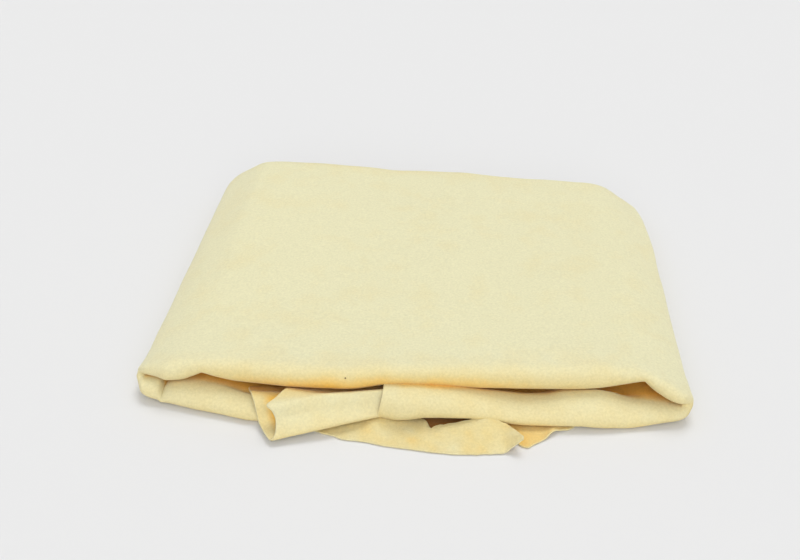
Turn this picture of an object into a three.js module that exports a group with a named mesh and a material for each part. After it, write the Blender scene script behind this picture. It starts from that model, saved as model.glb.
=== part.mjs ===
// A natural chamois leather, folded into a soft pack that lies on a flat surface.
//
// Millimetres, +Z up, +Y towards the back. The origin is under the middle of the pack.
//
// The hide is first folded along X: its front and back edges are tucked under, which makes a
// strip of an outer panel over two tucks. Both ends of the strip are then wrapped under it, and
// meet near the middle. Each stretch between two folds is one solid here. Three loose corners of
// the hide come out at the front: a rolled corner, a tongue flap and a small floor flap.

import * as THREE from 'three';

// ---------------------------------------------------------------- driving sizes

const HALF_WIDTH = 125; // from the middle to a side fold
const BACK_Y = 118; // back fold
const FRONT_CORNER_Y = -86; // front corners of the pack
const TOP_BULGE = 6; // the upper front fold stands this far ahead of the corners
const LIP_BULGE = 14; // the lower front fold stands further ahead
const BACK_CORNER_DROP = 12; // how far the back corners round forwards
const BACK_CORNER_POWER = 6; // how late the back edge starts to round

const GAP = 0.3; // clearance between neighbouring stretches of the hide
const END_RIM_Z = 6; // widest level of the wrapped ends
const END_TOP_Z = 12; // top of the wrapped ends
const TOP_RIM_Z = 18; // widest level of the upper strip
const ENDS_MEET_X = -16; // the two wrapped ends meet here
const TUCKS_MEET_Y = 24; // the front and back tucks meet here

const FRONT_CROWN_Z = 23; // height of the upper panel along its front
const BACK_LEFT_CROWN_Z = 30;
const BACK_RIGHT_CROWN_Z = 21;
const DOME_RISE = 4; // extra height in the middle of the upper panel

const FOLD_ROUND = 11; // depth of the round of a fold
const BUTT_ROUND = 2; // round of an edge that only meets another

const ARC_STEPS = 5;
const INNER_STEPS = 6;

const LEATHER = { color: 0xeae6be, roughness: 0.93, metalness: 0 };
const FLESH_SIDE = { color: 0xe3d596, roughness: 0.97, metalness: 0 };
const FLAP_COLOUR = { color: 0xe9e1ae, roughness: 0.95, metalness: 0 };

// ---------------------------------------------------------------- helpers

const lerp = THREE.MathUtils.lerp;

// Places along one direction of a panel, with the rise of a quarter-round at each end.
function stations(length, startRound, endRound) {
  const list = [];
  for (let k = 0; k <= ARC_STEPS; k += 1) {
    const angle = (k / ARC_STEPS) * (Math.PI / 2);
    list.push({ at: startRound * (1 - Math.cos(angle)), rise: Math.sin(angle) });
  }
  const innerLength = length - startRound - endRound;
  for (let k = 1; k < INNER_STEPS; k += 1) {
    list.push({ at: startRound + (innerLength * k) / INNER_STEPS, rise: 1 });
  }
  for (let k = ARC_STEPS; k >= 0; k -= 1) {
    const angle = (k / ARC_STEPS) * (Math.PI / 2);
    list.push({ at: length - endRound * (1 - Math.cos(angle)), rise: Math.sin(angle) });
  }
  list[0].rise = 0;
  list[list.length - 1].rise = 0;
  return list;
}

// A slab with one flat face at flatZ. The other face rises from its rim to crownZ(x, y) in
// quarter-rounds, above or below the flat face.
function halfPillow({ fromX, toX, frontY, backY, rounds, flatZ, crownZ }) {
  const nominalDepth = backY(0) - frontY(0);
  const columns = stations(toX - fromX, rounds.left, rounds.right);
  const rows = stations(nominalDepth, rounds.front, rounds.back);
  const positions = [];
  const addPoint = (x, y, z) => positions.push(x, y, z) / 3 - 1;
  const crown = [];
  const flat = [];
  columns.forEach((column, i) => {
    const x = fromX + column.at;
    crown.push([]);
    flat.push([]);
    rows.forEach((row, j) => {
      const y = lerp(frontY(x), backY(x), row.at / nominalDepth);
      const rise = column.rise * row.rise;
      const onRim = rise === 0;
      const crownPoint = addPoint(x, y, flatZ + rise * (crownZ(x, y) - flatZ));
      crown[i].push(crownPoint);
      flat[i].push(onRim ? crownPoint : addPoint(x, y, flatZ));
    });
  });

  const middle = crown[Math.floor(columns.length / 2)][Math.floor(rows.length / 2)];
  const crownIsUp = positions[middle * 3 + 2] > flatZ;
  const index = [];
  const addFace = (grid, i, j, facesUp) => {
    const [a, b] = [grid[i][j], grid[i + 1][j]];
    const [c, d] = [grid[i + 1][j + 1], grid[i][j + 1]];
    // the diagonal runs inwards from each corner, so that no triangle has all three on the rim
    const sameHalf = i < (columns.length - 1) / 2 === j < (rows.length - 1) / 2;
    const triangles = sameHalf ? [[a, b, c], [a, c, d]] : [[a, b, d], [b, c, d]];
    triangles.forEach(([p, q, r]) => index.push(...(facesUp ? [p, q, r] : [p, r, q])));
  };
  for (let i = 0; i < columns.length - 1; i += 1) {
    for (let j = 0; j < rows.length - 1; j += 1) {
      addFace(crown, i, j, crownIsUp);
      addFace(flat, i, j, !crownIsUp);
    }
  }

  const geometry = new THREE.BufferGeometry();
  geometry.setAttribute('position', new THREE.Float32BufferAttribute(positions, 3));
  geometry.setIndex(index);
  geometry.computeVertexNormals();
  return geometry;
}

const frontEdge = (bulge) => (x) => FRONT_CORNER_Y - bulge * (1 - (x / HALF_WIDTH) ** 2);
const backEdge = (x) => BACK_Y - BACK_CORNER_DROP * Math.abs(x / HALF_WIDTH) ** BACK_CORNER_POWER;
const straight = (value) => () => value;

const group = new THREE.Group();
group.name = 'folded_chamois';

function addNode(name, geometry, finish) {
  const mesh = new THREE.Mesh(geometry, new THREE.MeshStandardMaterial(finish));
  mesh.name = name;
  group.add(mesh);
  return mesh;
}

// ---------------------------------------------------------------- upper strip

// The panel is highest near the left end of its back fold, as the wrapped hide is bulkier there.
function upperCrown(x, y) {
  const across = (x + HALF_WIDTH) / (2 * HALF_WIDTH);
  const along = THREE.MathUtils.clamp((y - FRONT_CORNER_Y) / (BACK_Y - FRONT_CORNER_Y), 0, 1);
  const backCrown = lerp(BACK_LEFT_CROWN_Z, BACK_RIGHT_CROWN_Z, across);
  const dome = DOME_RISE * Math.sin(Math.PI * across) * Math.sin(Math.PI * along);
  return lerp(FRONT_CROWN_Z, backCrown, along) + dome;
}

function buildUpperStrip() {
  const span = { fromX: -HALF_WIDTH, toX: HALF_WIDTH };
  const sideRounds = { left: FOLD_ROUND, right: FOLD_ROUND };
  const tuckUnderside = END_TOP_Z + GAP;
  addNode('top_panel', halfPillow({
    ...span,
    frontY: frontEdge(TOP_BULGE),
    backY: backEdge,
    rounds: { ...sideRounds, front: FOLD_ROUND, back: FOLD_ROUND },
    flatZ: TOP_RIM_Z + GAP,
    crownZ: upperCrown,
  }), LEATHER);
  addNode('top_front_tuck', halfPillow({
    ...span,
    frontY: frontEdge(TOP_BULGE),
    backY: straight(TUCKS_MEET_Y - GAP),
    rounds: { ...sideRounds, front: FOLD_ROUND, back: BUTT_ROUND },
    flatZ: TOP_RIM_Z,
    crownZ: straight(tuckUnderside),
  }), LEATHER);
  addNode('top_back_tuck', halfPillow({
    ...span,
    frontY: straight(TUCKS_MEET_Y),
    backY: backEdge,
    rounds: { ...sideRounds, front: BUTT_ROUND, back: FOLD_ROUND },
    flatZ: TOP_RIM_Z,
    crownZ: straight(tuckUnderside),
  }), LEATHER);
}

// ---------------------------------------------------------------- wrapped ends

// An end lies on the surface with its outer panel down and its two tucks on top.
function buildWrappedEnd(side, fromX, toX, sideRounds) {
  addNode(`${side}_end_panel`, halfPillow({
    fromX,
    toX,
    frontY: frontEdge(LIP_BULGE),
    backY: backEdge,
    rounds: { ...sideRounds, front: FOLD_ROUND, back: FOLD_ROUND },
    flatZ: END_RIM_Z,
    crownZ: straight(0),
  }), LEATHER);
  addNode(`${side}_end_front_tuck`, halfPillow({
    fromX,
    toX,
    frontY: frontEdge(LIP_BULGE),
    backY: straight(TUCKS_MEET_Y - GAP),
    rounds: { ...sideRounds, front: FOLD_ROUND, back: BUTT_ROUND },
    flatZ: END_RIM_Z + GAP,
    crownZ: straight(END_TOP_Z),
  }), LEATHER);
  addNode(`${side}_end_back_tuck`, halfPillow({
    fromX,
    toX,
    frontY: straight(TUCKS_MEET_Y),
    backY: backEdge,
    rounds: { ...sideRounds, front: BUTT_ROUND, back: FOLD_ROUND },
    flatZ: END_RIM_Z + GAP,
    crownZ: straight(END_TOP_Z),
  }), LEATHER);
}

// ---------------------------------------------------------------- loose corners at the front

const ROLL = {
  fromX: -58,
  toX: -14,
  openEndRadius: 7.6,
  innerEndRadius: 6.2,
  thickness: 1.8,
  sweep: THREE.MathUtils.degToRad(300),
  startAngle: THREE.MathUtils.degToRad(100),
  steps: 22,
  backY: -100.8,
};

// A corner of the hide curled into an open tube that narrows to the right.
function buildRolledCorner() {
  const section = new THREE.Shape();
  const outer = ROLL.openEndRadius;
  const inner = outer - ROLL.thickness;
  const endAngle = ROLL.startAngle + ROLL.sweep;
  section.absarc(0, 0, outer, ROLL.startAngle, endAngle, false);
  section.absarc(0, 0, inner, endAngle, ROLL.startAngle, true);
  section.closePath();
  const length = ROLL.toX - ROLL.fromX;
  const geometry = new THREE.ExtrudeGeometry(section, {
    depth: length,
    bevelEnabled: false,
    curveSegments: ROLL.steps,
  });
  const position = geometry.attributes.position;
  for (let k = 0; k < position.count; k += 1) {
    const along = position.getZ(k) / length;
    const scale = lerp(1, ROLL.innerEndRadius / outer, along);
    const radius = outer * scale;
    const y = ROLL.backY - radius + position.getX(k) * scale;
    const z = radius + position.getY(k) * scale;
    position.setXYZ(k, ROLL.fromX + position.getZ(k), y, z);
  }
  geometry.computeVertexNormals();
  addNode('rolled_corner', geometry, FLAP_COLOUR);
}

const FLAP_THICKNESS = 2;
const TONGUE = { fromX: -13, toX: 52, backY: -101.2, frontY: -118, tipRound: 9 };
const FLOOR_FLAP = { fromX: 53, toX: 73, leftFrontY: -110, rightFrontY: -98.5, backY: -97.2 };

function addFlap(name, outline) {
  const geometry = new THREE.ExtrudeGeometry(outline, {
    depth: FLAP_THICKNESS,
    bevelEnabled: false,
    curveSegments: ARC_STEPS * 2,
  });
  addNode(name, geometry, FLESH_SIDE);
}

// The tongue flap lies flat ahead of the lower fold, with its rougher flesh side up.
function buildTongueFlap() {
  const { fromX, toX, backY, frontY, tipRound } = TONGUE;
  const bow = new THREE.Shape();
  bow.moveTo(fromX, backY);
  bow.quadraticCurveTo(fromX, frontY + tipRound / 2, fromX + tipRound, frontY + tipRound / 2);
  bow.quadraticCurveTo((fromX + toX) / 2, frontY - tipRound / 2, toX - tipRound, frontY + tipRound / 2);
  bow.quadraticCurveTo(toX, frontY + tipRound / 2, toX, backY - tipRound / 2);
  bow.quadraticCurveTo(toX, backY, toX - tipRound, backY);
  bow.closePath();
  addFlap('tongue_flap', bow);
}

function buildFloorFlap() {
  const { fromX, toX, leftFrontY, rightFrontY, backY } = FLOOR_FLAP;
  const corner = new THREE.Shape();
  corner.moveTo(fromX, leftFrontY);
  corner.quadraticCurveTo((fromX + toX) / 2, leftFrontY, toX, rightFrontY);
  corner.lineTo(toX, backY);
  corner.lineTo(fromX, frontEdge(LIP_BULGE)(fromX) - GAP);
  corner.closePath();
  addFlap('floor_flap', corner);
}

// ---------------------------------------------------------------- the whole pack

buildUpperStrip();
buildWrappedEnd('left', -HALF_WIDTH, ENDS_MEET_X - GAP, { left: FOLD_ROUND, right: BUTT_ROUND });
buildWrappedEnd('right', ENDS_MEET_X, HALF_WIDTH, { left: BUTT_ROUND, right: FOLD_ROUND });
buildRolledCorner();
buildTongueFlap();
buildFloorFlap();

export default group;
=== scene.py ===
"""A natural chamois leather, folded into a soft pack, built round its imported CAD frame.

The hide is one sheet. Its front and back edges are tucked under along X, and the strip that
this makes is wrapped round at both sides, so that its two ends meet underneath. Shapes are
worked out in millimetres in the frame of the CAD model and turned into metres in one place.
"""

import math

import bpy
import numpy as np
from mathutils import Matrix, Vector


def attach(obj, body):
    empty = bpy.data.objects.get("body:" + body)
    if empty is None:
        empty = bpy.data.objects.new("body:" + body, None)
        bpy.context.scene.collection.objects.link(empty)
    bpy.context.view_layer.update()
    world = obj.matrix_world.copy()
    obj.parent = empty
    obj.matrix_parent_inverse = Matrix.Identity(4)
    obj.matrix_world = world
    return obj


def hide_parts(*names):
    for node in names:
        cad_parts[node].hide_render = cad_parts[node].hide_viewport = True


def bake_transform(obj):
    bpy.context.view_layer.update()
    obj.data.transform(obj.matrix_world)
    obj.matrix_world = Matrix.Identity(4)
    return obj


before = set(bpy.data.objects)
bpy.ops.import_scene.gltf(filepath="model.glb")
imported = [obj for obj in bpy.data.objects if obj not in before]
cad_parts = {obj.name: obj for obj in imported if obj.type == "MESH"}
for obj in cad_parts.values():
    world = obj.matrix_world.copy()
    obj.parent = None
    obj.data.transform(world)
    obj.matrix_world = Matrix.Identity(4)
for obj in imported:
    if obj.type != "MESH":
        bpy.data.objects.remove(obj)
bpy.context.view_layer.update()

MM = 0.001

# ------------------------------------------------------------------ driving sizes, millimetres

THICKNESS = 1.1  # of the leather
HALF_WIDTH = 125.0  # nominal distance of a side fold from the middle
TUCKS_MEET_Y = 24.0
LEFT_END_X = -17.5  # free edge of the left wrapped end
RIGHT_END_X = -14.0  # free edge of the right wrapped end
RIGHT_END_SLANT = 2.6  # its upper ply ends this far right of its lower ply
SIDE_ZONE_X = 96.0  # the side folds' own pieces start here

SIDE_LEVEL = 9.5  # height of the side folds' outermost line
MIDDLE_LEVEL = 12.0  # height where upper strip and wrapped ends touch, in the middle
PLY_GAP = 0.9  # from that level to the middle of the tuck above or below it
FLOOR_PLY = 0.6  # height of the middle of a ply that lies on the floor
LEAST_SHARE = 0.35  # of the gap that stays open where a tuck turns round in a side fold
LEVEL_SLOPE = (MIDDLE_LEVEL - SIDE_LEVEL) / HALF_WIDTH
BEND_GAP = 0.06  # a ply keeps this far from the plane its side fold bends at
FOLD_ROW_IN = 0.004  # the upper strip's last row stops this far inside the side fold's line

LOWER_ROUND = 9.0  # how far in from the side the underside reaches the floor
UPPER_ROUND_FRONT = 32.0  # how far in from the side the top reaches its full height
UPPER_ROUND_BACK = 24.0
NOSE_FULLNESS = 1.2  # a fold stands this many times its half height ahead of its start
NOSE_PROBE = 6.0  # a fold's height is taken this far in from its edge
DOME = 1.5  # extra height in the middle of the top

# each fade is (y where it starts, y where it is complete), for what happens along the front only
RAISE_FADE = (-55, -85)
LIP_UP_FADE = (-70, -84)
LIP_DOWN_FADE = (-60, -78)
NOTCH_FADE = (-74, -82)
FOOT_FADE = (-72, -92)
CORNER_LIFT = 2.2  # the underside's front corners stand this far off the floor
CORNER_LIFT_FADE = (-60, -95)
CORNER_LIFT_FROM_SIDE = (30, 4)  # the lift grows between these distances from the side fold
HOLLOW_FADES = (6, 12, 34)  # behind its start a hollow is full from, full to and gone by these

# each outline is (x, value) from left to right
HAIRPIN_DEPTH = ((-125, 4.2), (-90, 2.6), (60, 2.6), (125, 5.6))  # the tucks turn round this far in
UPPER_FRONT_Y = (
    (-125, -82.0), (-120, -85.0), (-115, -87.4), (-109, -90.6), (-95, -90), (-84, -90.6), (-50, -94.5),
    (-30, -95), (-8, -91), (18, -89.5), (38, -88), (70, -85.8), (90, -83.8), (103, -82.6),
    (111, -86.5), (119, -89.5), (125, -86.5),
)
UPPER_FRONT_RAISE = (
    (-125, 0), (-104, 0), (-98, 1.9), (-93, 3.4), (-87, 2.2), (-78, 0.5), (-60, 0.7),
    (-22, 0.9), (-10, 1.6), (18, 1.2), (34, 0), (72, 0.2), (84, 1.3), (96, 4.4),
    (103.5, 5.8), (109, 3), (116, 0.5), (125, 0),
)
# sharp creases that pinch the upper fold: (x, extra height, width)
CREASES = ((-93.4, 1.9, 4.5), (104.2, 1.6, 3.0))
NOTCH_X = -111.8
NOTCH_DEPTH = 4.4
NOTCH_WIDTHS = (0.5, 2.4)  # to its left and right
LEFT_LIP_Y = (
    (-125, -84), (-120, -91), (-110, -94), (-84, -100), (-68, -103), (-60, -102),
    (-40, -96), (-22, -89),
)
LEFT_LIP_RISE = ((-125, 0), (-100, 0.2), (-86, 0.2), (-72, -0.6), (-64, -1.7), (-22, -1.7))
LEFT_LIP_SHOULDER = ((-125, 0), (-112, 3), (-90, 5), (-60, 5), (-22, 3))
LEFT_LIP_HOLLOW = ((-125, 0), (-96, 0), (-84, 1.0), (-76, 2.6), (-68, 3.2), (-22, 3.0))
RIGHT_LIP_Y = (
    (-14, -100.5), (-3, -103), (8, -101.7), (35, -99.4), (60, -98.8), (82, -97.6), (99, -95.0),
    (112, -92.4), (122, -90.0), (125, -87),
)
RIGHT_LIP_RISE = (
    (-14, 5), (8, 4.6), (23, 3), (37, 0.6), (52, -1.3), (62, -0.8), (70, 0.9), (84, 1.9),
    (91, 0.9), (95.5, -0.5), (100, -1.2), (106, -1.0), (112, -0.8), (122, -0.4), (125, 0),
)
RIGHT_LIP_SHOULDER = ((-14, 0), (10, 1), (34, 7), (52, 9), (82, 9), (98, 7), (112, 3), (125, 0))
RIGHT_LIP_HOLLOW = (
    (-14, 0), (22, 0), (30, 1.8), (38, 3.4), (50, 4.2), (60, 3.6), (68, 1.6), (76, 1.2),
    (84, 2.4), (90, 4), (96, 4), (101, 1.8), (106, 0.4), (111, 0), (125, 0),
)
RIGHT_LIP_FOOT = (
    (-14, 1.4), (0, 2.4), (8, 3.6), (28, 4.2), (38, 3.4), (50, 2.2), (62, 1.8), (76, 1.3),
    (88, 0), (125, 0),
)
BACK_Y = (
    (-125, 112), (-116, 116.5), (-100, 118), (0, 118), (90, 117), (110, 115), (120, 110), (125, 104),
)
FRONT_CROWN = ((-125, 19), (-100, 21.5), (-60, 23), (0, 23.5), (60, 23), (100, 22.4), (125, 20))
BACK_CROWN = (
    (-125, 22), (-112, 24.4), (-99, 28.8), (-88, 29.6), (-60, 28.4), (-40, 26.6), (-16, 24.6),
    (16, 24.8), (43, 22.4), (80, 21.2), (96, 20.6), (105, 19.6), (112, 17.6), (119, 14.6), (125, 12),
)
# each outline is (y, half width) from front to back
LEFT_SIDE_X = ((-90, 127.2), (-83, 126.7), (-74, 125.5), (-64, 125), (95, 125), (108, 124.5), (118, 119))
RIGHT_SIDE_X = (
    (-94, 127.4), (-85, 126.8), (-74, 126.1), (-60, 125.5), (50, 125), (85, 123.5), (103, 120),
    (118, 112),
)


# ------------------------------------------------------------------ helpers for shapes

def outline(points):
    """A smooth curve through points (at, value) that doesn't overshoot between them."""
    at, value = (np.array(row, float) for row in zip(*points))
    step = np.diff(at)
    rise = np.diff(value) / step
    slope = np.zeros(len(at))
    for k in range(1, len(at) - 1):
        if rise[k - 1] * rise[k] > 0:
            slope[k] = 2 * rise[k - 1] * rise[k] / (rise[k - 1] + rise[k])
    slope[0], slope[-1] = rise[0], rise[-1]

    def evaluate(where):
        where = np.clip(where, at[0], at[-1])
        k = np.clip(np.searchsorted(at, where, side="right") - 1, 0, len(step) - 1)
        t = (where - at[k]) / step[k]
        return (
            value[k] * (1 + 2 * t) * (1 - t) ** 2
            + slope[k] * step[k] * t * (1 - t) ** 2
            + value[k + 1] * t * t * (3 - 2 * t)
            + slope[k + 1] * step[k] * t * t * (t - 1)
        )

    return evaluate


def smooth_step(low, high, value):
    t = np.clip((value - low) / (high - low), 0, 1)
    return t * t * (3 - 2 * t)


def quarter_round(distance, reach):
    """Rises from 0 at the rim to 1 at reach, upright at the rim."""
    t = np.clip(distance / reach, 0, 1)
    return np.sqrt(np.maximum(1 - (1 - t) ** 2, 0))


def unit(vectors):
    length = np.linalg.norm(vectors, axis=-1, keepdims=True)
    return vectors / np.maximum(length, 1e-9)


def waves(seed, count, shortest, longest):
    """Sum of plane waves of mixed direction, about -1 to 1, as a function of two coordinates."""
    rng = np.random.default_rng(seed)
    length = np.exp(rng.uniform(math.log(shortest), math.log(longest), count))
    angle = rng.uniform(0, 2 * math.pi, count)
    phase = rng.uniform(0, 2 * math.pi, count)

    def evaluate(a, b):
        total = np.zeros(np.broadcast(a, b).shape)
        for k in range(count):
            along = a * math.cos(angle[k]) + b * math.sin(angle[k])
            total += np.sin(2 * math.pi * along / length[k] + phase[k])
        return total / math.sqrt(count)

    return evaluate


hairpin_depth = outline(HAIRPIN_DEPTH)
upper_front_y = outline(UPPER_FRONT_Y)
smooth_raise = outline(UPPER_FRONT_RAISE)
left_lip_y = outline(LEFT_LIP_Y)
right_lip_y = outline(RIGHT_LIP_Y)
back_y = outline(BACK_Y)
front_crown = outline(FRONT_CROWN)
back_crown = outline(BACK_CROWN)
left_side_x = outline(LEFT_SIDE_X)
right_side_x = outline(RIGHT_SIDE_X)


# ------------------------------------------------------------------ the folded hide

def middle_level(x):
    """Height where the upper strip and the wrapped ends touch, at x."""
    return MIDDLE_LEVEL - LEVEL_SLOPE * np.abs(x)


def widened(x, y):
    """The real x of a point at nominal x: the sides are straight, and draw in at the back."""
    side = np.where(x < 0, left_side_x(y), right_side_x(y)) / HALF_WIDTH
    return x * (1 + (side - 1) * (x / HALF_WIDTH) ** 2)


def upper_outer_z(x, y):
    from_side = HALF_WIDTH - np.abs(x)
    depth = np.clip((y - upper_front_y(x)) / (back_y(x) - upper_front_y(x)), 0, 1)
    back_share = smooth_step(0.0, 1.0, depth)
    crown = front_crown(x) * (1 - back_share) + back_crown(x) * back_share
    crown = crown + DOME * np.sin(math.pi * depth) * np.cos(math.pi * x / (2 * HALF_WIDTH))
    reach = UPPER_ROUND_FRONT + (UPPER_ROUND_BACK - UPPER_ROUND_FRONT) * depth
    return SIDE_LEVEL + (crown - SIDE_LEVEL) * quarter_round(from_side, reach)


def lower_outer_z(x, y, foot):
    from_side = HALF_WIDTH - np.abs(x)
    side_share = smooth_step(*CORNER_LIFT_FROM_SIDE, from_side)
    corner_lift = CORNER_LIFT * side_share * smooth_step(*CORNER_LIFT_FADE, y)
    floor = FLOOR_PLY + corner_lift + foot(x) * smooth_step(*FOOT_FADE, y)
    return SIDE_LEVEL - (SIDE_LEVEL - floor) * quarter_round(from_side, LOWER_ROUND)


def flat_value(x):
    return np.zeros_like(x)


def creased(x):
    """How much the sharp creases lift the upper fold at x."""
    return sum(height * np.exp(-np.abs(x - at) / width) for at, height, width in CREASES)


def hairpin(x):
    """x and the share of the gap where a tuck turns round just inside the side fold."""
    from_side = HALF_WIDTH - np.abs(x)
    depth = hairpin_depth(x)
    angle = (math.pi / 2) * np.clip(1 - from_side / depth, 0, 1)
    turned_x = HALF_WIDTH - depth + PLY_GAP * np.sin(angle)
    inside = from_side < depth
    share = np.maximum(np.cos(angle), LEAST_SHARE)
    return np.where(inside, np.sign(x) * turned_x, x), np.where(inside, share, 1.0)


def upper_inner(x, y):
    inner_x, share = hairpin(x)
    raised = (smooth_raise(x) + creased(x)) * smooth_step(*RAISE_FADE, y)
    return inner_x, middle_level(x) + share * (PLY_GAP + raised)


def left_notch(x):
    """The small pleat that opens under the left end of the upper fold."""
    width = np.where(x < NOTCH_X, NOTCH_WIDTHS[0], NOTCH_WIDTHS[1])
    return NOTCH_DEPTH * np.exp(-np.abs(x - NOTCH_X) / width)


class Lip:
    """The front of a wrapped end: a loop that rises to a shoulder, with a hollow behind it."""

    def __init__(self, front, rise, shoulder, hollow, hollow_start, foot=None, notch=flat_value):
        self.front = front
        self.rise = outline(rise)
        self.shoulder = outline(shoulder)
        self.hollow = outline(hollow)
        self.hollow_start = hollow_start
        self.foot = outline(foot) if foot else flat_value
        self.notch = notch

    def inner(self, x, y):
        inner_x, share = hairpin(x)
        rise = self.rise(x)
        up, down = smooth_step(*LIP_UP_FADE, y), smooth_step(*LIP_DOWN_FADE, y)
        rise_fade = np.where(rise > 0, up, down)
        behind = y - self.front(x) - self.shoulder(x) - self.hollow_start
        full_from, full_to, gone_by = HOLLOW_FADES
        dip = smooth_step(0, full_from, behind) * smooth_step(gone_by, full_to, behind)
        level = PLY_GAP - rise * rise_fade + self.hollow(x) * dip
        level = level + self.notch(x) * smooth_step(*NOTCH_FADE, y)
        return inner_x, middle_level(x) - share * level

    def outer_z(self, x, y):
        return lower_outer_z(x, y, self.foot)


class Branch:
    """One layer of the pack: the upper strip, or an end wrapped under it."""

    def __init__(self, front, outer_z, inner, shoulder=flat_value):
        self.front = front
        self.outer_z = outer_z
        self.inner = inner
        self.shoulder = shoulder

    def outer_point(self, x, y):
        return np.stack([widened(x, y), y, self.outer_z(x, y)], -1)

    def inner_point(self, x, y):
        inner_x, z = self.inner(x, y)
        return np.stack([widened(inner_x, y), y, z], -1)

    def nose(self, x, edge_y, facing, turn, shoulder):
        """Half a turn from the outer ply to the tuck, standing out to edge_y.

        The tuck starts a shoulder's length further back than the outer ply does."""
        probe = edge_y - facing * NOSE_PROBE
        inner_x, inner_z = self.inner(x, probe)
        half_height = np.hypot(self.outer_z(x, probe) - inner_z, x - inner_x) / 2
        reach = NOSE_FULLNESS * np.maximum(half_height, 1.0) + shoulder / 2
        outer_start = edge_y - facing * (reach - shoulder / 2)
        inner_start = edge_y - facing * (reach + shoulder / 2)
        outer = self.outer_point(x, outer_start)
        inner = self.inner_point(x, inner_start)
        centre, half = (outer + inner) / 2, (outer - inner) / 2
        length = np.sqrt(np.maximum(reach**2 - (shoulder / 2) ** 2, 0))
        ahead = np.zeros_like(centre)
        ahead[..., 1] = facing * length * np.sin(turn)
        return centre + half * np.cos(turn)[..., None] + ahead, outer_start, inner_start


LEFT_LIP = Lip(
    left_lip_y, LEFT_LIP_RISE, LEFT_LIP_SHOULDER, LEFT_LIP_HOLLOW, hollow_start=2.5, notch=left_notch
)
RIGHT_LIP = Lip(
    right_lip_y, RIGHT_LIP_RISE, RIGHT_LIP_SHOULDER, RIGHT_LIP_HOLLOW, hollow_start=6.0,
    foot=RIGHT_LIP_FOOT,
)
UPPER = Branch(upper_front_y, upper_outer_z, upper_inner)
LEFT_END = Branch(left_lip_y, LEFT_LIP.outer_z, LEFT_LIP.inner, LEFT_LIP.shoulder)
RIGHT_END = Branch(right_lip_y, RIGHT_LIP.outer_z, RIGHT_LIP.inner, RIGHT_LIP.shoulder)

# grid points across the strip
TUCK_STEPS = 34
NOSE_STEPS = 22
TOP_STEPS = 116
TUCK_CROWDING = 1.5  # above 1, a tuck's points crowd towards its fold
TUCK_EDGE_GAP = 1.0  # each tuck stops this far from the line where the two meet

# grid rows along the strip
LEFT_FLAT_ROWS = 96
RIGHT_FLAT_ROWS = 120
TOP_FLAT_ROWS = 180
LOWER_ROUND_ROWS = 10
UPPER_ROUND_ROWS = 22

SLANT_START_X = 24.0
SLANT_LIMIT = 1.3  # the slanted edge leans no further than at this share of the middle level


def strip_rows(branch, x):
    """Points across the strip at each nominal x, from one tuck's free edge to the other's."""
    x = x[:, None]
    turn_in = np.linspace(math.pi, 0, NOSE_STEPS)[None, :] + 0 * x
    wide_x = x + 0 * turn_in
    front_nose, front_outer, front_inner = branch.nose(
        wide_x, branch.front(x), -1, turn_in, branch.shoulder(x)
    )
    back_nose, back_outer, back_inner = branch.nose(wide_x, back_y(x), 1, turn_in[:, ::-1], 0 * x)
    share = 1 - np.linspace(1, 0, TUCK_STEPS)[None, :-1] ** TUCK_CROWDING
    front_edge_y, back_edge_y = TUCKS_MEET_Y - TUCK_EDGE_GAP, TUCKS_MEET_Y + TUCK_EDGE_GAP
    front_tuck_y = front_edge_y + (front_inner[:, :1] - front_edge_y) * share
    back_tuck_y = back_inner[:, :1] + (back_edge_y - back_inner[:, :1]) * (1 - share[:, ::-1])
    top_share = np.linspace(0, 1, TOP_STEPS)[None, 1:-1]
    top_y = front_outer[:, :1] + (back_outer[:, :1] - front_outer[:, :1]) * top_share
    parts = [
        branch.inner_point(x + 0 * front_tuck_y, front_tuck_y),
        front_nose,
        branch.outer_point(x + 0 * top_y, top_y),
        back_nose,
        branch.inner_point(x + 0 * back_tuck_y, back_tuck_y),
    ]
    return np.concatenate(parts, axis=1)


def near_side(reach, count):
    """Distances from the side fold, closer together towards it."""
    angle = np.linspace(0, math.pi / 2, count + 1)[1:]
    return reach * (1 - np.cos(angle))


def build_strip_grid():
    """The whole strip, from the left end's free edge, round the left side, over and back."""
    lower_side = HALF_WIDTH - near_side(LOWER_ROUND, LOWER_ROUND_ROWS)
    upper_side = HALF_WIDTH - near_side(UPPER_ROUND_BACK, UPPER_ROUND_ROWS)
    left_flat = np.linspace(LEFT_END_X, -lower_side[-1], LEFT_FLAT_ROWS)[:-1]
    right_flat = np.linspace(lower_side[-1], RIGHT_END_X, RIGHT_FLAT_ROWS)[1:]
    top_flat = np.linspace(-upper_side[-1], upper_side[-1], TOP_FLAT_ROWS)[1:-1]
    left_lower_x = np.concatenate([left_flat, -lower_side[::-1]])
    last = HALF_WIDTH - FOLD_ROW_IN
    upper_x = np.concatenate([[-last], -upper_side, top_flat, upper_side[::-1], [last]])
    right_lower_x = np.concatenate([lower_side, right_flat])
    rows = [
        strip_rows(LEFT_END, left_lower_x),
        strip_rows(UPPER, upper_x),
        strip_rows(RIGHT_END, right_lower_x),
    ]
    right_rows = rows[-1]
    slant = RIGHT_END_SLANT * smooth_step(SLANT_START_X, RIGHT_END_X, right_lower_x)[:, None]
    right_rows[..., 0] += slant * np.clip(right_rows[..., 2] / MIDDLE_LEVEL, 0, SLANT_LIMIT)
    row_x = np.concatenate([left_lower_x, upper_x, right_lower_x])
    upper_rows = slice(len(left_lower_x), len(left_lower_x) + len(upper_x))
    return np.concatenate(rows, axis=0), row_x, upper_rows


# ------------------------------------------------------------------ from a grid to a mesh piece

# sides that face into the pack get painted shade as warmth, and cut edges take half of their neighbour's
INSIDE_WARMTH = 0.6  # least warmth of a side that faces into the pack
RIM_WARMTH = 0.25  # most warmth of a cut edge


def grid_normals(grid):
    along = np.gradient(grid, axis=0)
    across = np.gradient(grid, axis=1)
    return unit(np.cross(along, across))


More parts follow.
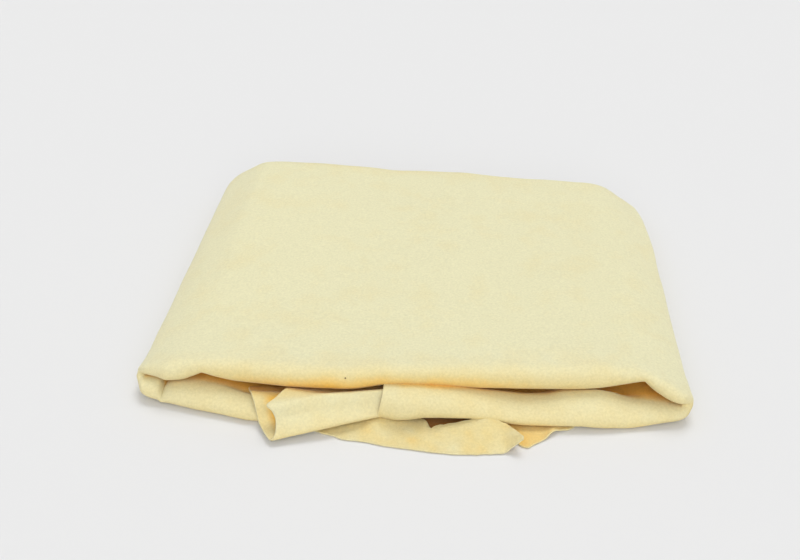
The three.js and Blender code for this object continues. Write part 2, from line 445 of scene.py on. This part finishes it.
def rim_indices(rows, columns):
    """Grid places round the rim, in order."""
    bottom = [(i, 0) for i in range(rows)]
    right = [(rows - 1, j) for j in range(1, columns)]
    top = [(i, columns - 1) for i in range(rows - 2, -1, -1)]
    left = [(0, j) for j in range(columns - 2, 0, -1)]
    return bottom + right + top + left


def on_own_side(points, ply):
    """Points moved to their ply's side of the plane a side fold bends at: 1 above, -1 below."""
    height = (points[..., 2] - middle_level(points[..., 0])) * ply
    moved = points.copy()
    moved[..., 2] += ply * np.maximum(BEND_GAP - height, 0)
    return moved


def sheet_piece(name, grid, normals, warmth, material, flat_rims=(), inner_warmth=None, ply=None):
    """A closed sheet of leather round a grid of points on its middle surface.

    flat_rims names the sides, "first" or "last" row, where another sheet carries on.
    ply says for each row of a side fold which side of the bend it belongs to."""
    rows, columns = grid.shape[:2]
    count = rows * columns
    half = THICKNESS / 2
    rim = rim_indices(rows, columns)
    rim_points, rim_normals = [], []
    for k, (i, j) in enumerate(rim):
        before, after = rim[k - 1], rim[(k + 1) % len(rim)]
        tangent = grid[after] - grid[before]
        outwards = unit(np.cross(tangent, normals[i, j]))
        joins_on = (i == 0 and "first" in flat_rims) or (i == rows - 1 and "last" in flat_rims)
        rim_points.append(grid[i, j] + outwards * (0 if joins_on else half))
        rim_normals.append(normals[i, j] if joins_on else outwards)
    upper = grid + normals * half
    lower = grid - normals * half
    rim_points = np.array(rim_points)
    if ply is not None:
        upper = on_own_side(upper, ply[:, None])
        lower = on_own_side(lower, ply[:, None])
        rim_points = on_own_side(rim_points, ply[[i for i, _ in rim]])
    points = np.concatenate([upper.reshape(-1, 3), lower.reshape(-1, 3), rim_points]) * MM
    flat_normals = normals.reshape(-1, 3)
    shading = np.concatenate([flat_normals, -flat_normals, np.array(rim_normals)])

    index = np.arange(count).reshape(rows, columns)
    corners = [index[:-1, :-1], index[1:, :-1], index[1:, 1:], index[:-1, 1:]]
    quads = np.stack(corners, -1).reshape(-1, 4)
    faces = [quads, quads[:, ::-1] + count]
    rim_index = np.array([index[place] for place in rim])
    following = np.roll(rim_index, -1)
    edge = np.arange(len(rim)) + 2 * count
    edge_following = np.roll(edge, -1)
    faces.append(np.stack([following, rim_index, edge, edge_following], -1))
    faces.append(np.stack([edge_following, edge, rim_index + count, following + count], -1))

    mesh = bpy.data.meshes.new(name)
    mesh.from_pydata(points.tolist(), [], np.concatenate(faces).tolist())
    mesh.shade_smooth()
    mesh.normals_split_custom_set_from_vertices(shading.tolist())
    attribute = mesh.attributes.new("warmth", "FLOAT", "POINT")
    rim_warmth = np.array([warmth[place] for place in rim])
    # painted shade on the side that faces into the pack
    if inner_warmth is None:
        inner_warmth = np.maximum(warmth, INSIDE_WARMTH)
    rim_warmth = np.minimum(rim_warmth / 2, RIM_WARMTH)
    values = np.concatenate([warmth.ravel(), inner_warmth.ravel(), rim_warmth])
    attribute.data.foreach_set("value", values.astype(np.float32))
    mesh.materials.append(material)
    piece = bpy.data.objects.new(name, mesh)
    bpy.context.scene.collection.objects.link(piece)
    return piece


# ------------------------------------------------------------------ materials

def add_node(tree, kind, **settings):
    node = tree.nodes.new(kind)
    for key, value in settings.items():
        setattr(node, key, value)
    return node


def noise(tree, position, scale, detail, roughness):
    node = add_node(tree, "ShaderNodeTexNoise")
    node.inputs["Scale"].default_value = scale
    node.inputs["Detail"].default_value = detail
    node.inputs["Roughness"].default_value = roughness
    tree.links.new(position, node.inputs["Vector"])
    return node.outputs["Fac"]


def remap(tree, value, from_low, from_high, to_low, to_high):
    node = add_node(tree, "ShaderNodeMapRange")
    for key, number in zip(
        ("From Min", "From Max", "To Min", "To Max"), (from_low, from_high, to_low, to_high)
    ):
        node.inputs[key].default_value = number
    tree.links.new(value, node.inputs["Value"])
    return node.outputs["Result"]


def mix_colour(tree, factor, first, second, blend="MIX"):
    node = add_node(tree, "ShaderNodeMix", data_type="RGBA", blend_type=blend)
    for socket, value in ((node.inputs[6], first), (node.inputs[7], second)):
        if isinstance(value, tuple):
            socket.default_value = (*value, 1)
        else:
            tree.links.new(value, socket)
    if isinstance(factor, (int, float)):
        node.inputs[0].default_value = factor
    else:
        tree.links.new(factor, node.inputs[0])
    return node.outputs[2]


def math_node(tree, operation, first, second):
    node = add_node(tree, "ShaderNodeMath", operation=operation)
    for socket, value in zip(node.inputs, (first, second)):
        if isinstance(value, (int, float)):
            socket.default_value = value
        else:
            tree.links.new(value, socket)
    return node.outputs[0]


# the leather's colour at warmth 0, 0.5, 1 and 2; the warmer ones mostly paint the shade under folds and
# inside the pack, and umber paints the deepest shade
CREAM = (0.722, 0.688, 0.445)
BUTTER = (0.725, 0.60, 0.285)
GOLD = (0.84, 0.48, 0.065)
PAINTED_SHADE_UMBER = (0.30, 0.125, 0.022)
MOTTLE_WARMTH = (-0.09, 0.11)  # the mottling shifts the warmth between these
FINE_SHADE = (0.90, 1.05)  # the fine grain multiplies the colour between these
# noise scales, per metre
MOTTLE_SCALE = 60
FINE_SCALE = 900
GRAIN_SCALE = 1400
WRINKLE_SCALE = 220
SHEEN_TINT = (1.0, 0.96, 0.84, 1)
# one dark speck in the upper fold, in metres
SPECK_AT = (-0.0278, -0.0945, 0.0210)
SPECK_SIZE = 0.00036
SPECK_SOFTNESS = 1.6
SPECK_COLOUR = (0.12, 0.07, 0.03)


def bump_node(tree, height, distance):
    """A bump of the given height in millimetres."""
    bump = add_node(tree, "ShaderNodeBump")
    bump.inputs["Distance"].default_value = distance * MM
    bump.inputs["Strength"].default_value = 1.0
    tree.links.new(height, bump.inputs["Height"])
    return bump


def leather(name, nap_height, grain_height, speck=False):
    """Suede: a soft nap, faint mottling, and painted warm shade inside the folds."""
    material = bpy.data.materials.new(name)
    material.use_nodes = True
    tree = material.node_tree
    shader = tree.nodes["Principled BSDF"]
    position = add_node(tree, "ShaderNodeTexCoord").outputs["Object"]
    warmth = add_node(tree, "ShaderNodeAttribute", attribute_name="warmth").outputs["Fac"]

    mottle = noise(tree, position, MOTTLE_SCALE, detail=4, roughness=0.6)
    fine = noise(tree, position, FINE_SCALE, detail=3, roughness=0.6)
    uneven = math_node(tree, "ADD", warmth, remap(tree, mottle, 0.3, 0.7, *MOTTLE_WARMTH))
    low = remap(tree, uneven, 0.0, 0.5, 0, 1)
    high = remap(tree, uneven, 0.5, 1.0, 0, 1)
    # warmth holds a piece's own tone and painted shade: cream, then butter and gold where shade is
    # painted
    colour = mix_colour(tree, low, CREAM, BUTTER)
    colour = mix_colour(tree, high, colour, GOLD)
    # umber paints the deepest shade, where the leather lies hidden from light
    colour = mix_colour(tree, remap(tree, warmth, 1.0, 2.0, 0, 1), colour, PAINTED_SHADE_UMBER)
    shade = remap(tree, fine, 0.25, 0.75, *FINE_SHADE)
    tint = add_node(tree, "ShaderNodeCombineColor")
    for socket in tint.inputs:
        tree.links.new(shade, socket)
    colour = mix_colour(tree, 1.0, colour, tint.outputs[0], "MULTIPLY")
    if speck:
        away = add_node(tree, "ShaderNodeVectorMath", operation="DISTANCE")
        away.inputs[1].default_value = SPECK_AT
        tree.links.new(position, away.inputs[0])
        spot = remap(tree, away.outputs["Value"], SPECK_SIZE, SPECK_SIZE * SPECK_SOFTNESS, 1, 0)
        colour = mix_colour(tree, spot, colour, SPECK_COLOUR)
    tree.links.new(colour, shader.inputs["Base Color"])

    shader.inputs["Roughness"].default_value = 0.95
    shader.inputs["Specular IOR Level"].default_value = 0.15
    shader.inputs["Sheen Weight"].default_value = 0.25
    shader.inputs["Sheen Roughness"].default_value = 0.5
    shader.inputs["Sheen Tint"].default_value = SHEEN_TINT

    nap = noise(tree, position, GRAIN_SCALE, detail=4, roughness=0.65)
    wrinkle = noise(tree, position, WRINKLE_SCALE, detail=3, roughness=0.5)
    nap_bump = bump_node(tree, nap, nap_height)
    wide_bump = bump_node(tree, wrinkle, grain_height)
    tree.links.new(nap_bump.outputs["Normal"], wide_bump.inputs["Normal"])
    tree.links.new(wide_bump.outputs["Normal"], shader.inputs["Normal"])
    return material


# ------------------------------------------------------------------ the hide's pieces

# painted shade as warmth, against the share of the fold's turn from tuck (0) to outer ply (1)
UPPER_WARMTH = (
    (-1.1, 0.5), (-0.7, 1.2), (-0.3, 1.25), (0.1, 1.0), (0.35, 0.88), (0.55, 0.66), (0.75, 0.36),
    (1.0, 0.12), (1.3, 0.0),
)
LOWER_WARMTH = (
    (-1.1, 0.5), (-0.7, 1.2), (-0.35, 1.2), (-0.14, 0.75), (-0.03, 0.34), (0.2, 0.26), (0.5, 0.32),
    (0.85, 0.55), (1.3, 0.3),
)
# how strong the painted golden shade on the upper fold's underside is along the front, against x
GOLDEN_PAINTED_SHADE = (
    (-125, 0.35), (-92, 0.5), (-60, 0.9), (-30, 1.05), (0, 0.9), (30, 0.85), (62, 0.65), (125, 0.4),
)
# between these shares of the turn, the painted shade of the fold's inside takes over
GOLDEN_TURN = (0.3, 0.1)  # between these shares of the turn its inside takes over
SIDE_MIX_ROWS = 7  # upper and lower warmth mix over this many rows at a side fold

# (seed, number of waves, shortest, longest) and height of the leather's soft and fine unevenness
SOFT_RELIEF = (11, 26, 22, 90)
SOFT_RELIEF_HEIGHT = 0.12
FINE_RELIEF = (12, 40, 5, 14)
FINE_RELIEF_HEIGHT = 0.03
TUCK_RELIEF = 0.25  # share of it that is left where plies touch
RELIEF_COLUMN = 70  # distances along the strip are measured along this grid column


def strip_warmth(row_x, columns, upper_rows):
    """Painted shade: 0 on open surfaces, towards 1 round the underside of a fold and inside the pack."""
    across = np.arange(columns)
    front_turn = (across - (TUCK_STEPS - 1)) / (NOSE_STEPS - 1)
    back_turn = (columns - TUCK_STEPS - across) / (NOSE_STEPS - 1)
    turn = np.minimum(front_turn, back_turn)
    upper, lower = outline(UPPER_WARMTH)(turn), outline(LOWER_WARMTH)(turn)
    golden = outline(GOLDEN_PAINTED_SHADE)(row_x)[:, None]
    inside = smooth_step(*GOLDEN_TURN, turn)[None, :]
    upper = upper[None, :] * (golden + (1 - golden) * inside)
    share = np.zeros(len(row_x))
    share[upper_rows] = 1
    share = np.convolve(share, np.ones(SIDE_MIX_ROWS) / SIDE_MIX_ROWS, mode="same")[:, None]
    return lower[None, :] * (1 - share) + upper * share


def path_length(points):
    """Distance from the first point to each point, along them all."""
    return np.cumsum(np.linalg.norm(np.diff(points, axis=0, prepend=points[:1]), axis=1))


def with_relief(grid):
    """The grid with the soft lumps and crinkles of the leather, less where plies touch."""
    rows, columns = grid.shape[:2]
    along = path_length(grid[:, RELIEF_COLUMN])
    around = path_length(grid[rows // 2])
    along, around = np.meshgrid(along, around, indexing="ij")
    across = np.arange(columns)
    from_tuck = np.minimum(across - TUCK_STEPS, columns - TUCK_STEPS - across)
    open_ply = TUCK_RELIEF + (1 - TUCK_RELIEF) * smooth_step(0, NOSE_STEPS / 2, from_tuck)[None, :]
    relief = SOFT_RELIEF_HEIGHT * waves(*SOFT_RELIEF)(along, around)
    relief = relief + FINE_RELIEF_HEIGHT * waves(*FINE_RELIEF)(along, around)
    return grid + grid_normals(grid) * (relief * open_ply)[..., None]


HIDE_PIECES = (
    "hide_left_end", "hide_left_fold", "hide_upper_strip", "hide_right_fold", "hide_right_end",
)


def build_hide(material):
    """The strip's grid as five pieces: two ends, two side folds and the upper strip."""
    grid, row_x, upper_rows = build_strip_grid()
    grid = with_relief(grid)
    normals = grid_normals(grid)
    warmth = strip_warmth(row_x, grid.shape[1], upper_rows)
    plies = np.full(len(row_x), -1.0)
    plies[upper_rows] = 1.0
    in_side_zone = np.abs(row_x) >= SIDE_ZONE_X
    starts = np.flatnonzero(np.diff(in_side_zone.astype(int))) + 1
    bounds = [0, *starts, len(row_x) - 1]
    inner_rows = range(1, len(row_x) - 1)
    pieces = []
    for name, first, last in zip(HIDE_PIECES, bounds[:-1], bounds[1:]):
        rows = slice(first, last + 1)
        joins_on = [rim for rim, place in (("first", first), ("last", last)) if place in inner_rows]
        ply = plies[rows] if name.endswith("fold") else None
        piece = sheet_piece(
            name, grid[rows], normals[rows], warmth[rows], material, joins_on, ply=ply
        )
        pieces.append(piece)
    return pieces


# ------------------------------------------------------------------ loose corners at the front

# The rolled corner comes out of the mouth, turns over forwards and hangs down to a fold just
# above the floor, then goes back up over the left lip. Each place along that path has its point
# (x, y, z) on the open left edge, then (y, z) half way along the roll and at its right end.
ROLL_MIDDLE_X = -34.0
ROLL_RIGHT_X = -10.5
ROLL_PATH = (
    ((-52.0, -86.0, 9.6), (-84.5, 9.0), (-83.0, 9.0)),
    ((-53.4, -91.5, 11.6), (-89.8, 10.0), (-87.0, 10.2)),
    ((-54.8, -96.2, 14.4), (-94.6, 12.0), (-90.0, 11.9)),
    ((-57.3, -102.8, 15.0), (-97.5, 14.1), (-92.0, 13.6)),
    ((-60.3, -108.9, 15.3), (-99.5, 14.6), (-93.4, 14.0)),
    ((-58.2, -110.0, 13.4), (-101.3, 12.8), (-95.2, 12.2)),
    ((-56.6, -110.8, 10.0), (-103.4, 9.4), (-96.8, 9.4)),
    ((-56.0, -113.4, 7.2), (-106.6, 7.2), (-98.4, 7.0)),
    ((-56.3, -116.2, 4.4), (-109.2, 5.9), (-99.2, 5.6)),
    ((-58.2, -117.4, 2.8), (-108.4, 4.4), (-98.2, 4.6)),
    ((-61.7, -112.6, 3.0), (-103.8, 3.5), (-95.4, 4.2)),
    ((-64.9, -107.0, 3.9), (-98.9, 4.6), (-92.8, 4.6)),
    ((-66.3, -104.0, 6.0), (-95.8, 6.2), (-91.0, 6.4)),
    ((-67.4, -101.6, 8.9), (-94.2, 8.2), (-89.6, 8.4)),
    ((-69.0, -98.0, 10.9), (-92.2, 9.0), (-88.0, 8.8)),
    ((-70.5, -94.6, 11.0), (-89.6, 7.8), (-86.0, 8.0)),
    ((-72.0, -90.8, 8.6), (-87.0, 6.6), (-84.0, 7.0)),
    ((-73.4, -86.0, 7.0), (-83.0, 6.2), (-82.0, 6.6)),
)
# its warmth along that path, painted shade: most where it comes out of the mouth and goes back in, least
# on its front wall
ROLL_WARMTH = (
    (0, 1.1), (0.08, 0.8), (0.14, 0.5), (0.2, 0.3), (0.25, 0.16), (0.35, 0.18), (0.46, 0.3),
    (0.52, 0.45), (0.65, 0.42), (0.80, 0.45), (0.86, 0.62), (0.92, 0.85), (1, 1.1),
)
# painted shade inside the roll, deepest in its tube away from the open edge
ROLL_INSIDE_WARMTH = 0.45  # least warmth of its inside
ROLL_DARKENS = (2.5, 9.0)  # the inside darkens over these distances from the open edge
ROLL_DARK_WARMTH = 0.6  # extra warmth where it is darkest
ROLL_TUBE_END = (0.88, 0.78)  # share of the path where it stops being a tube
ROLL_ROWS = 60
ROLL_COLUMNS = 120
ROLL_RELIEF = (21, 24, 8, 30)  # as for the hide's relief
ROLL_RELIEF_HEIGHT = 0.10
ROLL_COLUMN_LENGTH = 0.6  # average distance from one column to the next

# the tongue flap from left to right: (x, front y, back y, front z, back z)
TONGUE_EDGE = (
    (-41, -106.6, -105.2, 0.55, 0.55), (-37, -108.2, -103.2, 0.6, 0.7),
    (-32, -109.6, -101.0, 0.6, 1.0), (-27, -111.7, -99, 0.6, 1.2),
    (-19, -112.5, -96.5, 0.6, 2.0), (-12, -114, -96.4, 0.6, 3.0),
    (-5, -115.4, -96.2, 0.6, 1.8), (4, -116.3, -96.0, 0.6, 1.2),
    (8, -116.9, -98.2, 0.6, 2.2), (10.5, -117.2, -103.4, 0.6, 1.9),
    (13, -117.5, -102.0, 0.6, 2.2), (17, -117.8, -100.9, 0.6, 2.6),
    (25, -117.9, -99.4, 0.6, 3.6), (31, -117.5, -98.1, 0.6, 5.0),
    (35, -117, -98.6, 0.65, 5.8), (39.5, -116.4, -99.6, 0.7, 5.5),
    (43.5, -115.8, -101.8, 1.0, 5.3), (46, -115.1, -104.6, 3.0, 5.6),
    (48.5, -115.2, -108.6, 5.6, 6.6), (50.8, -114.6, -113.2, 7.8, 7.8),
)
TONGUE_ROWS = 132
TONGUE_COLUMNS = 36
TONGUE_FRONT_RAGGED = 0.12
TONGUE_BACK_RAGGED = 0.28
TONGUE_FREE_X = (-41, -20)  # its middle starts to swell between these
TONGUE_SWELL = 0.35  # how far its middle swells, and how much that varies
TONGUE_LUMPS = (33, 20, 9, 30)  # as for the hide's relief
TONGUE_WARMTH = 0.42
TONGUE_WARMTH_SPREAD = 0.08
TONGUE_STAINS = (34, 20, 6, 25)

# the small flap on the floor: (x, front y, front z)
FLOOR_FLAP_EDGE = (
    (4, -100, 0.6), (12, -103, 0.6), (30, -104, 0.6), (40, -105, 0.6), (48, -108, 0.6),
    (52.5, -111, 0.6), (56, -109, 0.6), (60.6, -105.4, 0.8), (64.7, -101.4, 2.4),
    (68, -98.9, 1.2), (71.8, -97.3, 0.7), (74, -95.3, 0.6),
)
FLOOR_FLAP_BACK_Y = -84.0
FLOOR_FLAP_ROWS = 80
FLOOR_FLAP_COLUMNS = 16
FLOOR_FLAP_RAGGED = 0.15
# the floor flap's warmth is painted shade, darkest to the left, where it runs under the tongue and the
# lip
FLOOR_FLAP_WARMTH = 0.62
FLOOR_FLAP_PAINTED_SHADES = ((1.3, 44, 38), (0.25, 56, 44))  # (extra warmth, from x, to x)
RAGGED_STEP = 0.7  # distance from one point of a ragged edge to the next


def smooth_path(points, count):
    """Points along a Catmull-Rom curve through the given ones, evenly by parameter."""
    points = np.array(points, float)
    padded = np.concatenate([2 * points[:1] - points[1:2], points, 2 * points[-1:] - points[-2:-1]])
    where = np.linspace(0, len(points) - 1, count)
    k = np.minimum(where.astype(int), len(points) - 2)
    t = (where - k).reshape(-1, *([1] * (points.ndim - 1)))
    p0, p1, p2, p3 = (padded[k + n] for n in range(4))
    cubic = 3 * (p1 - p2) + p3 - p0
    square = 2 * p0 - 5 * p1 + 4 * p2 - p3
    return p1 + 0.5 * t * (p2 - p0 + t * (square + t * cubic))


def build_rolled_corner(material):
    stations = np.array([
        [left, (ROLL_MIDDLE_X, *middle), (ROLL_RIGHT_X, *right)] for left, middle, right in ROLL_PATH
    ])
    across = smooth_path(stations, ROLL_COLUMNS)
    grid = smooth_path(across.transpose(1, 0, 2), ROLL_ROWS)[::-1]
    around = np.arange(ROLL_COLUMNS)[None, :] * ROLL_COLUMN_LENGTH
    relief = ROLL_RELIEF_HEIGHT * waves(*ROLL_RELIEF)(grid[..., 0], around)
    grid = grid + grid_normals(grid) * relief[..., None]
    place = np.linspace(0, 1, ROLL_COLUMNS)[None, :] + 0 * grid[..., 0]
    # painted shade: the inside warmer than the outside, and darker deep in the tube
    warmth = outline(ROLL_WARMTH)(place)
    from_edge = grid[..., 0] - grid[-1:, :, 0]
    dark = smooth_step(*ROLL_TUBE_END, place) * smooth_step(*ROLL_DARKENS, from_edge)
    inner_warmth = np.maximum(warmth, ROLL_INSIDE_WARMTH) + ROLL_DARK_WARMTH * dark
    return sheet_piece(
        "rolled_corner_leather", grid, grid_normals(grid), warmth, material, inner_warmth=inner_warmth
    )


def ragged(seed, count, size):
    """Small unevenness of a cut edge."""
    return size * waves(seed, 16, 2.5, 9)(np.arange(count) * RAGGED_STEP, np.zeros(count))


def build_tongue_flap(material):
    edge = smooth_path(TONGUE_EDGE, TONGUE_ROWS)
    share = np.linspace(0, 1, TONGUE_COLUMNS)[None, :]
    x, front, back, front_z, back_z = (column[:, None] for column in edge.T)
    back = back + ragged(31, TONGUE_ROWS, TONGUE_BACK_RAGGED)[:, None]
    front = front + ragged(32, TONGUE_ROWS, TONGUE_FRONT_RAGGED)[:, None]
    y = front + (back - front) * share
    z = front_z + (back_z - front_z) * smooth_step(0, 1, share) ** 0.8
    free = np.sin(math.pi * share) * smooth_step(*TONGUE_FREE_X, x)
    z = z + free * TONGUE_SWELL * (1 + waves(*TONGUE_LUMPS)(x, y))
    grid = np.stack([x + 0 * y, y, np.maximum(z, FLOOR_PLY)], -1)
    warmth = TONGUE_WARMTH + TONGUE_WARMTH_SPREAD * waves(*TONGUE_STAINS)(x, y)
    return sheet_piece("tongue_flap_leather", grid, grid_normals(grid), warmth, material)


def build_floor_flap(material):
    edge = smooth_path(FLOOR_FLAP_EDGE, FLOOR_FLAP_ROWS)
    share = np.linspace(0, 1, FLOOR_FLAP_COLUMNS)[None, :]
    x, front, front_z = (column[:, None] for column in edge.T)
    front = front + ragged(41, FLOOR_FLAP_ROWS, FLOOR_FLAP_RAGGED)[:, None]
    y = front + (FLOOR_FLAP_BACK_Y - front) * share
    z = FLOOR_PLY + (front_z - FLOOR_PLY) * (1 - share) ** 2
    grid = np.stack([x + 0 * y, y, z], -1)
    warmth = FLOOR_FLAP_WARMTH + 0 * y
    # painted shade, deeper towards the left
    for extra, from_x, to_x in FLOOR_FLAP_PAINTED_SHADES:
        warmth = warmth + extra * smooth_step(from_x, to_x, x)
    return sheet_piece("floor_flap_leather", grid, grid_normals(grid), warmth, material)


# ------------------------------------------------------------------ camera, floor and light

LENS = 50
SENSOR_WIDTH = 36
CAMERA_AT = (0.0272, -0.492, 0.3105)
CAMERA_LOOKS_DOWN = 30.81  # degrees below the horizon
CAMERA_TURNS_LEFT = 4.42  # degrees
SKY_STRENGTH = 0.52
# (name, direction towards it, strength, spread in degrees)
SOFT_LIGHTS = (
    ("front_light", (0.06, -0.84, 0.54), 1.66, 60),
    ("top_light", (0.10, 0.38, 0.92), 1.24, 32),
)
WHITE = (1, 1, 1, 1)
FLOOR_REACH = 6.0  # metres, from the middle to a side
FLOOR_CORNERS = ((-1, -1), (1, -1), (1, 1), (-1, 1))
BACKDROP_RADIUS = 5.5
BACKDROP_GLOW = 0.83
FLOOR_ALBEDO = 0.68
FLOOR_GLOW = 0.04  # lifts its shadows a little


def build_camera():
    data = bpy.data.cameras.new("camera")
    data.lens = LENS
    data.sensor_width = SENSOR_WIDTH
    camera = bpy.data.objects.new("camera", data)
    camera.location = CAMERA_AT
    camera.rotation_euler = (math.radians(90 - CAMERA_LOOKS_DOWN), 0, math.radians(CAMERA_TURNS_LEFT))
    bpy.context.scene.collection.objects.link(camera)
    bpy.context.scene.camera = camera


def build_floor():
    mesh = bpy.data.meshes.new("floor")
    corners = [(side * FLOOR_REACH, end * FLOOR_REACH, 0) for side, end in FLOOR_CORNERS]
    mesh.from_pydata(corners, [], [(0, 1, 2, 3)])
    floor = bpy.data.objects.new("floor", mesh)
    bpy.context.scene.collection.objects.link(floor)
    material = bpy.data.materials.new("pale_floor")
    material.use_nodes = True
    shader = material.node_tree.nodes["Principled BSDF"]
    shader.inputs["Base Color"].default_value = (FLOOR_ALBEDO, FLOOR_ALBEDO, FLOOR_ALBEDO, 1)
    shader.inputs["Roughness"].default_value = 1.0
    shader.inputs["Specular IOR Level"].default_value = 0.0
    shader.inputs["Emission Color"].default_value = WHITE
    shader.inputs["Emission Strength"].default_value = FLOOR_GLOW
    mesh.materials.append(material)


def build_backdrop():
    """A far dome in the floor's tone that only the camera sees."""
    bpy.ops.mesh.primitive_uv_sphere_add(segments=48, ring_count=24, radius=BACKDROP_RADIUS)
    dome = bpy.context.object
    dome.name = "backdrop"
    material = bpy.data.materials.new("pale_backdrop")
    material.use_nodes = True
    tree = material.node_tree
    tree.nodes.remove(tree.nodes["Principled BSDF"])
    glow = tree.nodes.new("ShaderNodeEmission")
    glow.inputs["Color"].default_value = WHITE
    glow.inputs["Strength"].default_value = BACKDROP_GLOW
    tree.links.new(glow.outputs["Emission"], tree.nodes["Material Output"].inputs["Surface"])
    dome.data.materials.append(material)
    dome.visible_diffuse = False
    dome.visible_glossy = False
    dome.visible_transmission = False
    dome.visible_shadow = False


def build_light():
    """Even white surroundings, a broad soft light from the front and one from above."""
    world = bpy.data.worlds.new("studio")
    world.use_nodes = True
    background = world.node_tree.nodes["Background"]
    background.inputs["Color"].default_value = WHITE
    background.inputs["Strength"].default_value = SKY_STRENGTH
    bpy.context.scene.world = world
    for name, towards, strength, spread in SOFT_LIGHTS:
        data = bpy.data.lights.new(name, "SUN")
        data.energy = strength
        data.angle = math.radians(spread)
        lamp = bpy.data.objects.new(name, data)
        lamp.rotation_euler = Vector(towards).to_track_quat("Z", "Y").to_euler()
        bpy.context.scene.collection.objects.link(lamp)
    bpy.context.scene.view_settings.view_transform = "Standard"


# ------------------------------------------------------------------ assembly

build_camera()
build_floor()
build_backdrop()
build_light()
chamois = leather("chamois_suede", nap_height=0.2, grain_height=0.3, speck=True)
flesh_side = leather("chamois_flesh_side", nap_height=0.3, grain_height=0.7)
left_end, left_fold, upper_strip, right_fold, right_end = build_hide(chamois)
roll = build_rolled_corner(chamois)
tongue = build_tongue_flap(flesh_side)
floor_flap = build_floor_flap(chamois)

# (piece, CAD nodes it stands for, material slot, flat size in metres, flat area)
PIECES = (
    (left_end, ("left_end_panel", "left_end_front_tuck", "left_end_back_tuck"),
     "chamois_smooth", (0.079, 0.435), None),
    (left_fold, (), "chamois_smooth", (0.066, 0.435), None),
    (upper_strip, ("top_panel", "top_front_tuck", "top_back_tuck"),
     "chamois_smooth", (0.195, 0.435), None),
    (right_fold, (), "chamois_smooth", (0.066, 0.435), None),
    (right_end, ("right_end_panel", "right_end_front_tuck", "right_end_back_tuck"),
     "chamois_smooth", (0.112, 0.435), None),
    (roll, ("rolled_corner",), "chamois_edge", (0.055, 0.058), None),
    (tongue, ("tongue_flap",), "chamois_flesh_side", (0.092, 0.024), 0.0016),
    (floor_flap, ("floor_flap",), "chamois_flesh_side", (0.072, 0.025), 0.0012),
)
for piece, nodes, slot, flat, area in PIECES:
    if nodes:
        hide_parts(*nodes)

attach(left_end, "left_end")
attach(upper_strip, "upper_strip")
for piece in (right_end, roll, tongue, floor_flap):
    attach(piece, "right_end")

# the side folds' transforms are baked into their meshes; they are not attached to a body
for piece, end, side in ((left_fold, "left_end", -1), (right_fold, "right_end", 1)):
    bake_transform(piece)
